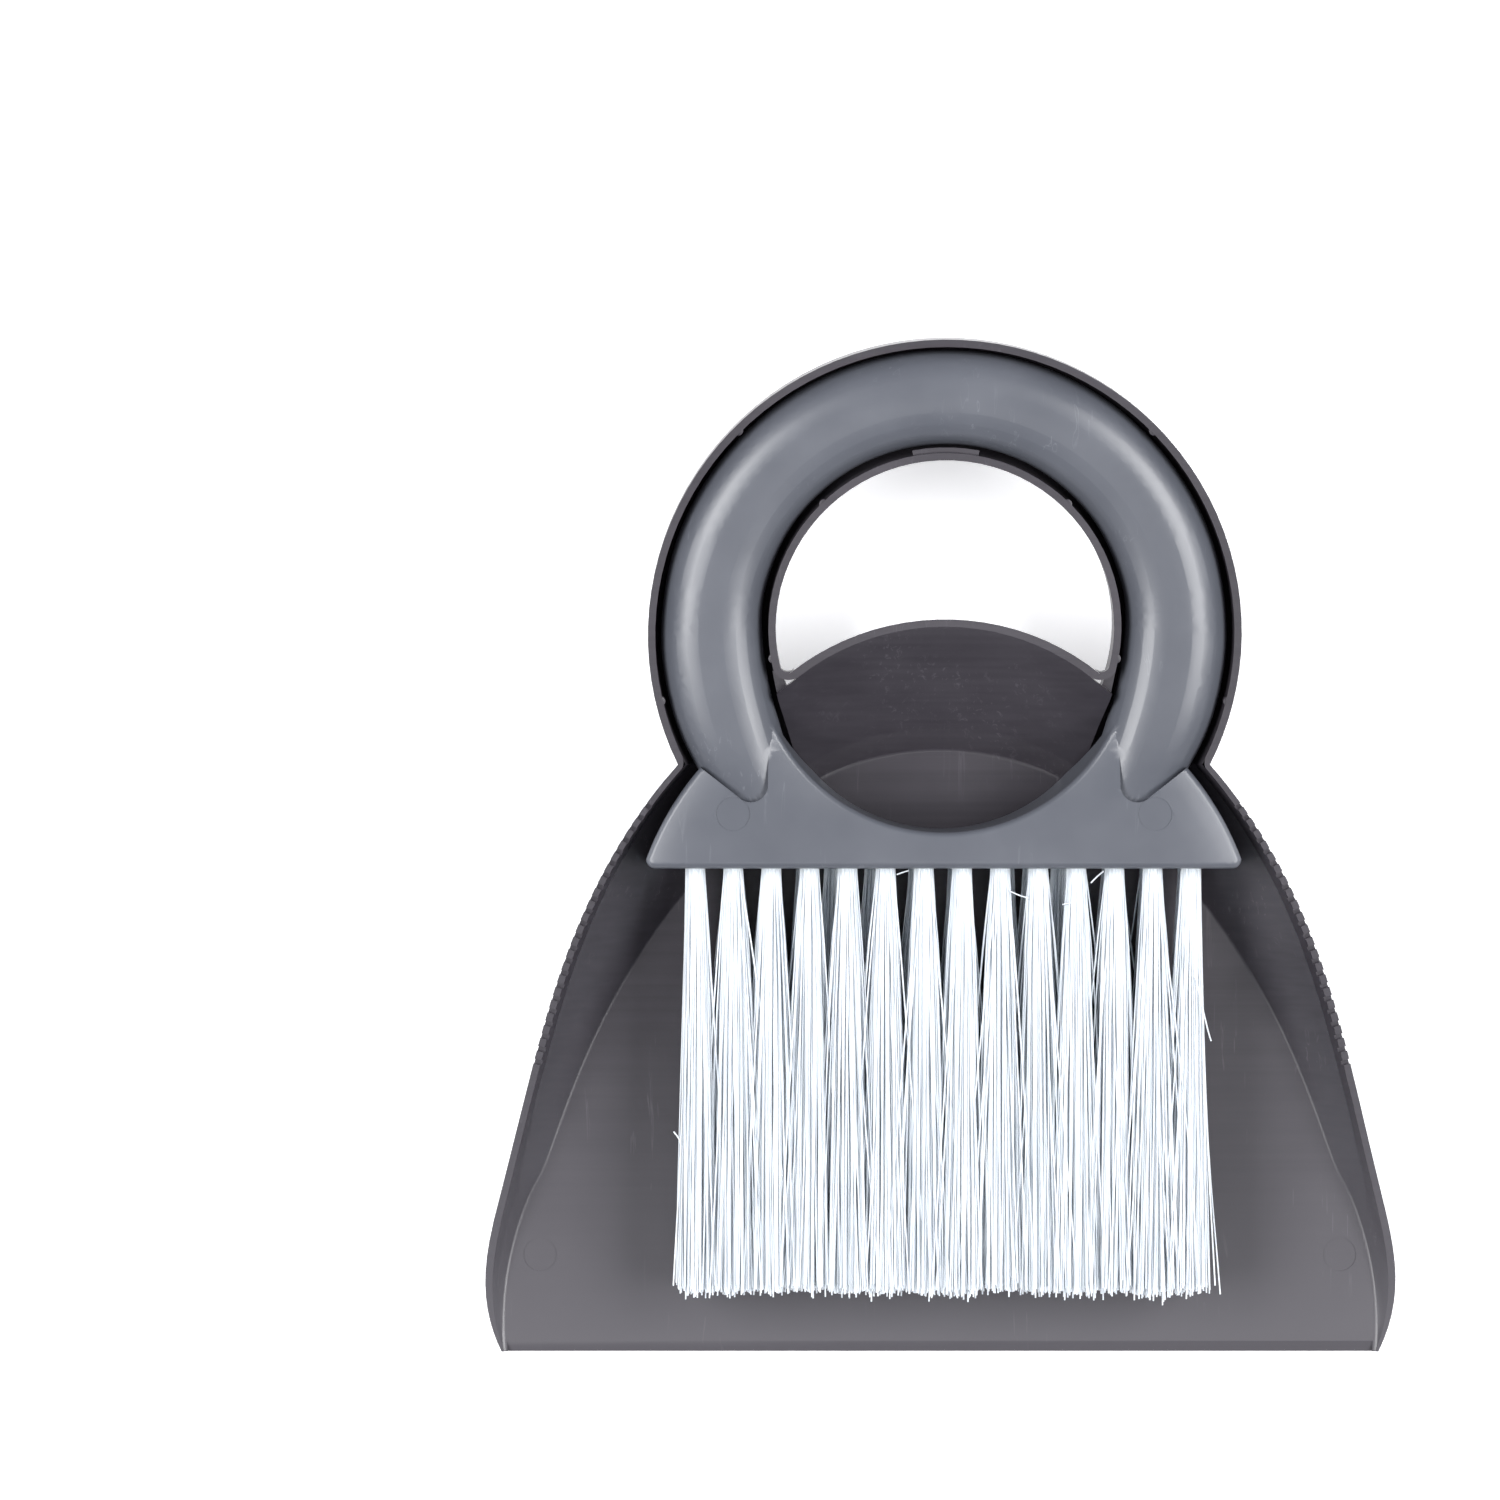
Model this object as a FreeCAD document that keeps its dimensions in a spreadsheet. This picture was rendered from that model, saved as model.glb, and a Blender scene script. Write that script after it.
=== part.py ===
import FreeCAD, Part
import math
import os

from FreeCAD import Placement, Rotation, Vector

# Hand brush nested in its dustpan, both with a ring handle. Millimetres.
# +Y points to the ring handles, -Y to the mouth of the pan, +Z up, and the
# origin is under the middle of the set on the surface that the pan lies on.

doc = FreeCAD.newDocument("BrushAndDustpan")

# ---------------------------------------------------------------- sizes
sheet = doc.addObject("Spreadsheet::Sheet", "Sizes")

SIZES = {
    "halfLength": 111.75,       # mouth edge to origin
    "floorThick": 2.0,
    "rimFront": 2.4,            # height of the rim plane at the mouth
    "rimTilt": 9.5,             # degrees, rim plane against the floor
    "footShare": 0.62,          # height of the rim flange's foot on the wall
    "lipWidth": 1.6,
    "creaseRadius": 1.6,
    "wallLean": 37.0,           # wall against the floor at the crease
    "ringCentre": 47.6,         # Y of the pan ring's outer circle
    "ringOuter": 64.8,
    "fingerShift": 1.7,         # finger hole's centre, further back than the ring's
    "fingerHole": 36.9,
    "troughDepth": 15.0,
    "troughWall": 1.6,
    "troughFlat": 53.0,         # radius where the trough's flat bottom starts, outer side
    "troughFoot": 48.6,         # and on the inner side
    "catchRadius": 39.6,        # snap ledge at the top of the finger hole
    "catchAngle": 21.2,
    "catchThick": 1.0,
    "catchDrop": 0.9,           # top of the ledge under the rim plane
    "handleOuter": 62.0,        # brush handle, outer edge
    "handleInner": 39.9,        # brush handle, inner edge
    "handleCrown": 2.5,         # crown above the rim plane
    "handleArch": 8.0,          # height of the arched back
    "handleRound": 2.25,        # 2 is an ellipse, more is fuller
    "handleSkirt": 3.0,         # straight sides under the arch
    "handleWall": 1.8,
    "headTop": 25.6,
    "headBase": 6.2,
    "headFront": -3.1,
    "headEdge": 1.6,            # rounding of the head's upper edges
    "headCorner": 2.2,          # front corners, seen from above
    "blockBack": 6.6,           # rear face of the solid block that holds the tufts
    "tuftPitch": 8.4,
    "tuftHole": 5.0,
    "tuftRoot": 4.8,
    "tuftDepth": 6.0,
    "tuftLength": 95.0,
    "tuftSpread": 6.1,          # width of a tuft at its tip
    "upperRow": 18.6,
    "lowerRow": 10.8,
    "anchorWidth": 5.8,
    "anchorHigh": 1.8,
    "anchorThick": 0.5,
    "toothPitch": 3.0,
    "toothGap": 1.1,
    "toothHigh": 1.5,
    "nubRadius": 1.0,
    "nubHigh": 2.0,
    "nubProud": 0.55,
    "nubSink": 0.15,            # top of a nub under the rim plane
    "toothStart": 12.0,         # first gap of the comb, along the rim from the ring
    "mouthHigh": 1.0,           # thickness of the floor at the mouth edge
    "mouthLength": 2.4,         # length of the bevel there
    "pinMark": 7.4,             # diameter of the ejector marks
    "markDepth": 0.15,
    "headClear": 1.0,           # gap between the brush head and the scoop's walls
    "keeperGap": 1.3,           # scoop's rear wall to the inner edge of the handle's leg
    "rearReach": 11.0,          # the plate curves down over this width to the opening
    "rearFall": 1.3,
    "endReach": 10.0,           # and over this width to its two ends
    "endFall": 1.2,
    "anchorLift": 0.6,          # anchor wire above the bottom of the tuft's hole
    "tuftClear": 0.1,           # end of a tuft above the bottom of its hole
    "past": 1.0,                # how far a cutting shape runs past what it cuts
}
TUFTS_PER_ROW = 14
TEETH_PER_SIDE = 21
REACH = 300.0                   # more than the whole set, for blocks that stand for a half space

for row, (name, value) in enumerate(SIZES.items(), start=1):
    sheet.set("A%d" % row, name)
    sheet.set("B%d" % row, str(value))
    sheet.setAlias("B%d" % row, name)
doc.recompute()


def size(name):
    return float(sheet.get(name))


def feature(name, shape):
    # A shaped piece that no parametric feature makes well, such as a moulded wall.
    part = doc.addObject("Part::Feature", name)
    part.Shape = shape
    return part


def fuse(name, parts):
    joined = doc.addObject("Part::MultiFuse", name)
    joined.Shapes = parts
    return joined


def cut(name, base, tool):
    result = doc.addObject("Part::Cut", name)
    result.Base = base
    result.Tool = tool
    return result


def common(name, parts):
    result = doc.addObject("Part::MultiCommon", name)
    result.Shapes = parts
    return result


# ---------------------------------------------------------------- rim plane
SLOPE = math.tan(math.radians(size("rimTilt")))


def rim(y):
    return size("rimFront") + (y + size("halfLength")) * SLOPE


def foot(y):
    # Height where the leaning wall turns up into the rim flange.
    return size("floorThick") + (rim(y) - size("floorThick")) * size("footShare")


RIM_TURN = Rotation(Vector(1, 0, 0), size("rimTilt"))
RIM_PLACE = Placement(Vector(0, size("ringCentre"), rim(size("ringCentre"))), RIM_TURN)
FINGER_Y = size("fingerShift") / math.cos(math.radians(size("rimTilt")))


# ---------------------------------------------------------------- scoop
# Half outlines from the mouth back, as (Y, X). The floor's ends where the rear
# corner of the wall starts, the rim's where it meets the ring.
FLOOR_LINE = [(-111.75, 97.3), (-94.7, 96.8), (-81.2, 93.5), (-74.9, 90.9), (-71.6, 89.1), (-65.0, 86.5),
              (-38.6, 75.9), (-11.6, 59.4), (5.5, 44.5)]
RIM_LINE = [(-111.75, 98.1), (-95.6, 101.6), (-73.8, 97.5), (-41.4, 89.1), (-19.9, 82.1),
            (1.3, 71.8), (19.8, 58.2)]
FLOOR_BACK = (16.9, 26.1, 22.9)     # Y and X where the rear arc starts, and Y at its middle
RIM_BACK = (39.2, 34.4, 51.4)
CORNER_SHARE = 0.6                  # how far the rear arc's ends move in X for each step in Y

# Half widths at the mouth: the inside at the flange's foot and at the rim, and the outside.
MOUTH_FOOT = 97.45
MOUTH_RIM = 97.5
MOUTH_OUTSIDE = 97.9
FOOT_INWARD = 1.0                   # the flange's foot lies this far in from the lip
HEADROOM = 10.0                     # height of the scoop's space above the ring's rear edge
SPACE_FRONT = 20.0                  # and its run past the mouth
CREASE_STEPS = 3

# The outside of the scoop: out from the floor line at the base, in from the rim line at
# the foot, and the foot's height as a share of the inner one, less a drop.
BASE_OUT = 0.3
FOOT_IN = 0.5
FOOT_SHARE = 0.93
FOOT_DROP = 0.6


def moved(line, inward, first=None):
    # The outline moved in towards the middle, with its own value at the mouth.
    points = [(y, x - inward) for y, x in line]
    if first is not None:
        points[0] = (points[0][0], first)
    return points


def outline(side, back, height, front):
    # Closed wire: mouth, right side, right corner, rear arc, left corner, left side.
    # height gives Z from Y, and front is where the mouth line lies.
    def at(x, y):
        return Vector(x, y, height(max(y, side[0][0])))

    right = [at(x, y) for y, x in side]
    left = [at(-x, y) for y, x in reversed(side)]
    startRight = at(side[0][1], front)
    startLeft = at(-side[0][1], front)
    backY, backX, middle = back
    right_curve = Part.BSplineCurve()
    right_curve.interpolate(right)
    left_curve = Part.BSplineCurve()
    left_curve.interpolate(left)
    edges = [Part.makeLine(startLeft, startRight)]
    if front < side[0][0]:
        edges.append(Part.makeLine(startRight, right[0]))
    edges.append(right_curve.toShape())
    edges.append(Part.makeLine(right[-1], at(backX, backY)))
    edges.append(Part.Arc(at(backX, backY), at(0, middle), at(-backX, backY)).toShape())
    edges.append(Part.makeLine(at(-backX, backY), left[0]))
    edges.append(left_curve.toShape())
    if front < side[0][0]:
        edges.append(Part.makeLine(left[-1], startLeft))
    return Part.Wire(edges)


def inset(back, amount):
    return (back[0] - amount, back[1] - amount * CORNER_SHARE, back[2] - amount)


def between(low, high, share):
    return tuple(a + (b - a) * share for a, b in zip(low, high))


def solid_loft(wires, ruled=True):
    shape = Part.makeLoft(wires, True, ruled)
    if shape.Volume < 0:
        shape.reverse()
    return shape


def crease_steps():
    # The rounded crease between floor and wall, as steps out and up from the sharp one.
    radius = size("creaseRadius")
    lean = math.radians(size("wallLean"))
    start = radius * math.tan(lean / 2)
    turns = [lean * step / CREASE_STEPS for step in range(CREASE_STEPS + 1)]
    return [(radius * math.sin(turn) - start, radius * (1 - math.cos(turn))) for turn in turns]


def scoop_void(gap, lift):
    # The space inside the scoop, pulled in by gap and raised by lift.
    front = -size("halfLength") - SPACE_FRONT
    lip = size("lipWidth") + gap
    floor_back = inset(FLOOR_BACK, gap)
    rim_back = inset(RIM_BACK, lip)
    foot_back = between(floor_back, rim_back, size("footShare"))
    wires = []
    for out, up in crease_steps():
        level = size("floorThick") + lift + up
        inward = gap - out
        wires.append(outline(moved(FLOOR_LINE, inward), inset(FLOOR_BACK, inward), lambda y: level, front))
    foot_line = moved(RIM_LINE, lip + FOOT_INWARD, MOUTH_FOOT - gap)
    rim_line = moved(RIM_LINE, lip, MOUTH_RIM - gap)
    ceiling = rim(size("halfLength")) + HEADROOM
    foot_wire = outline(foot_line, foot_back, lambda y: foot(y) + lift, front)
    rim_wire = outline(rim_line, rim_back, lambda y: rim(y) + lift, front)
    top_wire = outline(rim_line, rim_back, lambda y: ceiling, front)
    return solid_loft(wires + [foot_wire, rim_wire, top_wire])


def scoop_outer():
    front = -size("halfLength")
    floor_back = tuple(value + BASE_OUT for value in FLOOR_BACK)
    foot_back = between(floor_back, RIM_BACK, size("footShare"))
    foot_line = moved(RIM_LINE, FOOT_IN, MOUTH_OUTSIDE)
    base_wire = outline(moved(FLOOR_LINE, -BASE_OUT), floor_back, lambda y: 0.0, front)
    foot_wire = outline(foot_line, foot_back, lambda y: foot(y) * FOOT_SHARE - FOOT_DROP, front)
    rim_wire = outline(RIM_LINE, RIM_BACK, rim, front)
    return solid_loft([base_wire, foot_wire, rim_wire])


# ---------------------------------------------------------------- ring trough
def dish(name, radius, flat, depth, top, below=0.0):
    # A round dish with a quarter-round foot: the outside or the inside of the ring.
    # flat is the radius where the flat bottom starts; wider than radius, the foot flares out.
    # below extends it downwards as a straight core.
    body = doc.addObject("PartDesign::Body", name)
    sketch = body.newObject("Sketcher::SketchObject", name + "_profile")
    plane = [f for f in body.Origin.OriginFeatures if f.Role == "XZ_Plane"][0]
    sketch.AttachmentSupport = [(plane, "")]
    sketch.MapMode = "FlatFace"
    curve = abs(radius - flat)
    flare = 1 if radius > flat else -1
    straight = depth - curve
    corner = Vector(radius, -straight, 0)
    bottom = Vector(flat, -depth, 0)
    diagonal = curve * math.sqrt(0.5)
    halfway = Vector(flat + flare * diagonal, -straight - diagonal, 0)
    points = [corner, Vector(radius, top, 0), Vector(0, top, 0), Vector(0, -depth - below, 0)]
    if below:
        points.append(Vector(flat, -depth - below, 0))
    points.append(bottom)
    for start, end in zip(points[:-1], points[1:]):
        sketch.addGeometry(Part.LineSegment(start, end), False)
    sketch.addGeometry(Part.Arc(bottom, halfway, corner), False)
    doc.recompute()
    turned = body.newObject("PartDesign::Revolution", name + "_turned")
    turned.Profile = sketch
    turned.ReferenceAxis = (sketch, ["V_Axis"])
    turned.Angle = 360
    body.Tip = turned
    return body


def ring_place(target, shift=0.0):
    # Puts a ring piece on the rim plane; shift moves it back along that plane.
    target.Placement = RIM_PLACE.multiply(Placement(Vector(0, shift, 0), Rotation()))


# Inner edge of the brush handle's leg in the rim plane's own X and Y, from the ring down.
LEG_INNER = [(38.9, -8.0), (37.6, -14.4), (35.0, -24.0), (32.2, -34.5), (30.6, -40.0)]


KEEPER_LOW = -30.0
KEEPER_HIGH = 10.0


def wall_keeper():
    # The scoop's rear wall stays whole up to the leg: no trough inside this block.
    right = [Vector(x - size("keeperGap"), y, KEEPER_LOW) for x, y in LEG_INNER]
    left = [Vector(-point.x, point.y, KEEPER_LOW) for point in reversed(right)]
    base = Part.Face(Part.makePolygon(right + left + right[:1]))
    block = base.extrude(Vector(0, 0, KEEPER_HIGH - KEEPER_LOW))
    block.Placement = RIM_PLACE.multiply(block.Placement)
    return block


WALL = size("troughWall")
TROUGH_TOP = 12.0                   # how far the cutting dishes stand above the rim plane
POST_TOP = 14.0
CORE = 12.0                         # and how far the post goes on under the trough
FLAT_STEP = 1.0                     # the outside's flat bottom starts this much further out
trough_outside = dish("trough_outside", size("ringOuter"), size("troughFlat") + FLAT_STEP,
                      size("troughDepth") + WALL, 0.0)
post_outside = dish("post_outside", size("fingerHole"), size("troughFoot") - WALL,
                    size("troughDepth") + WALL, TROUGH_TOP, CORE)
trough_inside = dish("trough_inside", size("ringOuter") - WALL, size("troughFlat"),
                     size("troughDepth"), TROUGH_TOP)
post_inside = dish("post_inside", size("fingerHole") + WALL, size("troughFoot"), size("troughDepth"),
                   POST_TOP, CORE)
for outer_dish in (trough_outside, trough_inside):
    ring_place(outer_dish)
for post_dish in (post_outside, post_inside):
    ring_place(post_dish, FINGER_Y)
ring_shell = cut("ring_shell", trough_outside, post_outside)
post_and_wall = fuse("post_and_wall", [post_inside, feature("wall_keeper", wall_keeper())])
ring_space = cut("ring_space", trough_inside, post_and_wall)


# ---------------------------------------------------------------- small pan features
def tooth_places():
    # Gaps of the comb along both side rims: place on the lip and direction of the rim.
    curve = Part.BSplineCurve()
    curve.interpolate([Vector(x - size("lipWidth") / 2, y, rim(y)) for y, x in reversed(RIM_LINE)])
    start = size("toothStart")
    places = []
    for number in range(TEETH_PER_SIDE + 1):
        along = curve.parameterAtDistance(start + number * size("toothPitch"), curve.FirstParameter)
        point = curve.value(along)
        heading = curve.tangent(along)[0]
        places.append((point, heading))
    return places


def comb_gaps():
    gap = size("toothGap")
    high = size("toothHigh")
    spare = 3 * size("past")
    across = size("lipWidth") + spare
    boxes = []
    for point, heading in tooth_places():
        for sign in (1, -1):
            spot = Vector(sign * point.x, point.y, point.z)
            turn = math.degrees(math.atan2(heading.y, sign * heading.x))
            box = Part.makeBox(gap, across, high + spare, Vector(-gap / 2, -across / 2, -high))
            box.Placement = Placement(spot, Rotation(Vector(0, 0, 1), turn))
            boxes.append(box)
    return Part.makeCompound(boxes)


# Small locating nubs in the trough: their angles on its outer and its inner wall.
NUB_OUTER_ANGLES = [45, 135, -13, 193]
NUB_INNER_ANGLES = [46, 134, -10, 190]


def nub(name, radius, angle, shift):
    post = doc.addObject("Part::Cylinder", name)
    post.setExpression("Radius", "Sizes.nubRadius")
    post.setExpression("Height", "Sizes.nubHigh")
    turn = math.radians(angle)
    level = -size("nubHigh") - size("nubSink")
    spot = Vector(radius * math.cos(turn), shift + radius * math.sin(turn), level)
    post.Placement = RIM_PLACE.multiply(Placement(spot, Rotation()))
    return post


nubs = []
sunk = size("nubRadius") - size("nubProud")
for number, angle in enumerate(NUB_OUTER_ANGLES, start=1):
    nubs.append(nub("nub_outer_%d" % number, size("ringOuter") - WALL + sunk, angle, 0.0))
for number, angle in enumerate(NUB_INNER_ANGLES, start=1):
    nubs.append(nub("nub_inner_%d" % number, size("fingerHole") + WALL - sunk, angle, FINGER_Y))


# Corners of the lip, rounded: the corner in the rim plane's own X and Y, the directions
# of its two sides, the radius, and the heights between which it is rounded.
HOLE_CORNER = ((35.24, -9.22), (0.30, 0.95), (-0.77, 0.64), 2.0, -2.0, 0.0)      # filled
WALL_CORNER = ((36.66, -12.64), (0.20, 0.98), (-0.79, 0.61), 4.0, -3.0, 2.0)     # cut away
RING_CORNER = ((56.6, -28.19), (0.45, 0.89), (0.59, -0.81), 3.0, -3.0, 2.0)      # cut away


def corner_spandrel(corner, first, second, radius, low, high):
    # The material between a sharp corner and its rounding, on the right and on the left.
    point = Vector(corner[0], corner[1], low)
    one = Vector(first[0], first[1], 0).normalize()
    other = Vector(second[0], second[1], 0).normalize()
    half = one.getAngle(other) / 2
    centre = point + (one + other).normalize() * (radius / math.sin(half))
    reach = radius / math.tan(half)
    outline_points = [point, point + one * reach, centre, point + other * reach, point]
    prism = Part.Face(Part.makePolygon(outline_points)).extrude(Vector(0, 0, high - low))
    right = prism.cut(Part.makeCylinder(radius, high - low, centre))
    left = right.mirror(Vector(0, 0, 0), Vector(1, 0, 0))
    both = Part.makeCompound([right, left])
    both.Placement = RIM_PLACE
    return both


def catch_ledge():
    # Short ledge along the top of the finger hole that the brush handle snaps past.
    wedge = doc.addObject("Part::Cylinder", "catch_wedge")
    wedge.setExpression("Radius", "Sizes.catchRadius")
    wedge.setExpression("Height", "Sizes.catchThick")
    wedge.setExpression("Angle", "Sizes.catchAngle")
    core = doc.addObject("Part::Cylinder", "catch_core")
    core.setExpression("Radius", "Sizes.fingerHole + Sizes.troughWall / 2")
    core.setExpression("Height", "Sizes.catchThick")
    start = Rotation(Vector(0, 0, 1), 90 - size("catchAngle") / 2)
    spot = Vector(0, FINGER_Y, -size("catchDrop") - size("catchThick"))
    for item in (wedge, core):
        item.Placement = RIM_PLACE.multiply(Placement(spot, start))
    return cut("catch_ledge", wedge, core)


def pin_mark(name, x, y, level):
    mark = doc.addObject("Part::Cylinder", name)
    mark.setExpression("Radius", "Sizes.pinMark / 2")
    mark.setExpression("Height", "Sizes.markDepth + Sizes.past")
    mark.Placement.Base = Vector(x, y, level - size("markDepth"))
    return mark


def mouth_bevel():
    # Thins the floor towards the mouth edge.
    y = -size("halfLength")
    top = size("floorThick")
    low = size("mouthHigh")
    back = y + size("mouthLength")
    front = y - size("past")
    half = FLOOR_LINE[0][1] - BASE_OUT
    profile = [Vector(-half, front, low), Vector(-half, y, low), Vector(-half, back, top),
               Vector(-half, front, top), Vector(-half, front, low)]
    return Part.Face(Part.makePolygon(profile)).extrude(Vector(2 * half, 0, 0))


PAN_MARK = (89.5, -90.0)            # X and Y of the mark on the right
scoop_shell = feature("scoop_shell", scoop_outer())
scoop_space = feature("scoop_space", scoop_void(0.0, 0.0))
pan_marks = [pin_mark("pan_mark_right", PAN_MARK[0], PAN_MARK[1], size("floorThick")),
             pin_mark("pan_mark_left", -PAN_MARK[0], PAN_MARK[1], size("floorThick"))]
hole_corners = feature("hole_corners", corner_spandrel(*HOLE_CORNER))
wall_corners = feature("wall_corners", corner_spandrel(*WALL_CORNER))
ring_corners = feature("ring_corners", corner_spandrel(*RING_CORNER))
pan_blank = fuse("pan_blank", [scoop_shell, ring_shell, hole_corners])
pan_spaces = fuse("pan_spaces", [scoop_space, ring_space])
pan_open = cut("pan_open", pan_blank, pan_spaces)
pan_cuts = fuse("pan_cuts", [feature("comb_gaps", comb_gaps()), feature("mouth_bevel", mouth_bevel()),
                             wall_corners, ring_corners] + pan_marks)
pan_combed = cut("pan_combed", pan_open, pan_cuts)
dustpan = fuse("dustpan", [pan_combed, catch_ledge()] + nubs)


# ---------------------------------------------------------------- brush handle
# Sections of the ring tube in the rim plane, from the top of the ring round to the
# leg that runs into the head: inner edge, outer edge and how far the back dips.
LEG_DIP = [0.0, 0.0, 0.4, 1.5, 2.2]
STATION_STEP = 15                   # degrees between sections
ARCH_STEPS = 12
HOLLOW_SECTIONS = -2                # the hollow leaves out the last two, so the leg's end is solid


def handle_stations():
    stations = []
    for step in range(-1, 90 // STATION_STEP + 1):
        turn = math.radians(90 - STATION_STEP * step)
        out = Vector(math.cos(turn), math.sin(turn), 0)
        inner = Vector(0, FINGER_Y, 0) + out * size("handleInner")
        outer = out * size("handleOuter")
        stations.append((inner, outer, 0.0))
    for (x, y), dip in zip(LEG_INNER, LEG_DIP):
        inner = Vector(x, y, 0)
        outer = Vector(math.sqrt(size("handleOuter") ** 2 - y * y), y, 0)
        stations.append((inner, outer, dip))
    return stations


def arch(inner, outer, dip, wall, drop):
    # Closed section of the tube: arched back, straight skirt and flat base.
    across = (outer - inner).normalize()
    start = inner + across * wall
    end = outer - across * wall
    middle = (start + end) * 0.5
    half = (end - start).Length / 2
    spring = size("handleCrown") - size("handleArch") - dip
    rise = size("handleArch") - wall
    back = []
    for step in range(ARCH_STEPS + 1):
        turn = math.pi * step / ARCH_STEPS
        along = -math.cos(turn)
        high = rise * math.sqrt(max(0.0, 1 - abs(along) ** size("handleRound")))
        back.append(middle + across * (half * along) + Vector(0, 0, spring + high))
    curve = Part.BSplineCurve()
    curve.interpolate(back)
    base = spring - size("handleSkirt") - drop
    low_start = Vector(start.x, start.y, base)
    low_end = Vector(end.x, end.y, base)
    return Part.Wire([Part.makeLine(low_start, back[0]), curve.toShape(), Part.makeLine(back[-1], low_end),
                      Part.makeLine(low_end, low_start)])


def half_handle(wall, drop, stations):
    tube = solid_loft([arch(inner, outer, dip, wall, drop) for inner, outer, dip in stations], False)
    # The station before the top only steers the curve, so the tube is trimmed at X = 0.
    keep = Part.makeBox(REACH, 2 * REACH, 2 * REACH, Vector(0, -REACH, -REACH))
    return tube.common(keep)


def whole_handle(wall, drop, stations):
    right = half_handle(wall, drop, stations)
    left = right.mirror(Vector(0, 0, 0), Vector(1, 0, 0))
    joined = right.fuse(left)
    joined.Placement = RIM_PLACE
    return joined


stations = handle_stations()
handle_outside = feature("handle_outside", whole_handle(0.0, 0.0, stations))
handle_hollow = feature("handle_hollow",
                        whole_handle(size("handleWall"), size("past"), stations[:HOLLOW_SECTIONS]))


# ---------------------------------------------------------------- brush head
# Right half of the head's plan, as (X, Y): three points of the bowed side, the
# arc round the nose of the handle's leg, and the web beside the leg.
HEAD_SIDE = [(65.3, -1.0), (61.2, 7.9), (53.4, 19.1)]
LEG_NOSE = [(45.3, 12.8), (41.2, 11.6), (38.6, 14.4)]
WEB_END = (38.2, 34.0)
OPENING_TOP = (46.3, 41.5)          # centre Y and radius of the head's round rear edge
OPENING_BASE = (43.3, 37.9)
CONE_SPAN = (-0.4, 1.4)             # how far the opening's wall is drawn out, as shares of its height
CORNER_CUT = 0.27                   # middle of the corner's rounding, as a share of its size
EDGE_PAST = 3.0                     # how far the plate's fall runs on past the plate's edge
PLATE_LOW = 3.0                     # no upper edge of the plate lies further under its top


def head_plan():
    # Closed right half of the plan, from the middle of the front edge round.
    front = size("headFront")
    corner = size("headCorner")
    side = [Vector(x, y, 0) for x, y in HEAD_SIDE]
    nose = [Vector(x, y, 0) for x, y in LEG_NOSE]
    start = Vector(0, front, 0)
    corner_start = Vector(side[0].x - corner, front, 0)
    corner_middle = Vector(side[0].x - corner * CORNER_CUT, front + corner * CORNER_CUT, 0)
    web = Vector(WEB_END[0], WEB_END[1], 0)
    inside = Vector(0, WEB_END[1], 0)
    edges = [Part.makeLine(start, corner_start), Part.Arc(corner_start, corner_middle, side[0]).toShape(),
             Part.Arc(*side).toShape(), Part.makeLine(side[-1], nose[0]), Part.Arc(*nose).toShape(),
             Part.makeLine(nose[-1], web), Part.makeLine(web, inside), Part.makeLine(inside, start)]
    return Part.Face(Part.Wire(edges))


def head_blank():
    right = head_plan().extrude(Vector(0, 0, size("headTop") - size("headBase")))
    left = right.mirror(Vector(0, 0, 0), Vector(1, 0, 0))
    blank = right.fuse(left).removeSplitter()
    blank.translate(Vector(0, 0, size("headBase")))
    return blank


def opening_cone(wall=0.0):
    # The leaning round wall behind the head; wall widens it for the hollow.
    height = size("headTop") - size("headBase")
    rings = []
    for share in CONE_SPAN:
        centre = OPENING_BASE[0] + (OPENING_TOP[0] - OPENING_BASE[0]) * share
        radius = OPENING_BASE[1] + (OPENING_TOP[1] - OPENING_BASE[1]) * share + wall
        level = size("headBase") + height * share
        rings.append(Part.Wire([Part.makeCircle(radius, Vector(0, centre, level))]))
    return solid_loft(rings)


def plate_fall(edge, reach, fall, inward):
    # What is taken off the plate where it curves down to a round edge of that radius:
    # towards the middle when inward, otherwise outwards.
    top = size("headTop")
    bend = (reach ** 2 + fall ** 2) / (2 * fall)
    sign = 1 if inward else -1
    begin = edge + sign * reach
    finish = edge - sign * EDGE_PAST

    def point(at):
        return Vector(at, 0, top - bend + math.sqrt(bend ** 2 - (at - begin) ** 2))

    high_begin = Vector(begin, 0, top + size("past"))
    high_finish = Vector(finish, 0, top + size("past"))
    section = [Part.Arc(point(begin), point((begin + finish) / 2), point(finish)).toShape(),
               Part.makeLine(point(finish), high_finish), Part.makeLine(high_finish, high_begin),
               Part.makeLine(high_begin, point(begin))]
    return Part.Face(Part.Wire(section)).revolve(Vector(0, 0, 0), Vector(0, 0, 1), 360)


def head_crowned():
    # The head with its plate falling gently to the opening and to both ends.
    centre, radius = OPENING_TOP
    rear = plate_fall(radius, size("rearReach"), size("rearFall"), True)
    rear.translate(Vector(0, centre, 0))
    bow = Part.Arc(*[Vector(x, y, 0) for x, y in HEAD_SIDE]).toShape().Curve
    end = plate_fall(bow.Radius, size("endReach"), size("endFall"), False)
    end.translate(bow.Center)
    beside_leg = Part.makeBox(REACH, 2 * REACH, REACH, Vector(LEG_NOSE[0][0], -REACH, 0))
    right = end.common(beside_leg)
    left = right.mirror(Vector(0, 0, 0), Vector(1, 0, 0))
    return head_blank().cut(opening_cone()).cut(rear).cut(right).cut(left)


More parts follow.
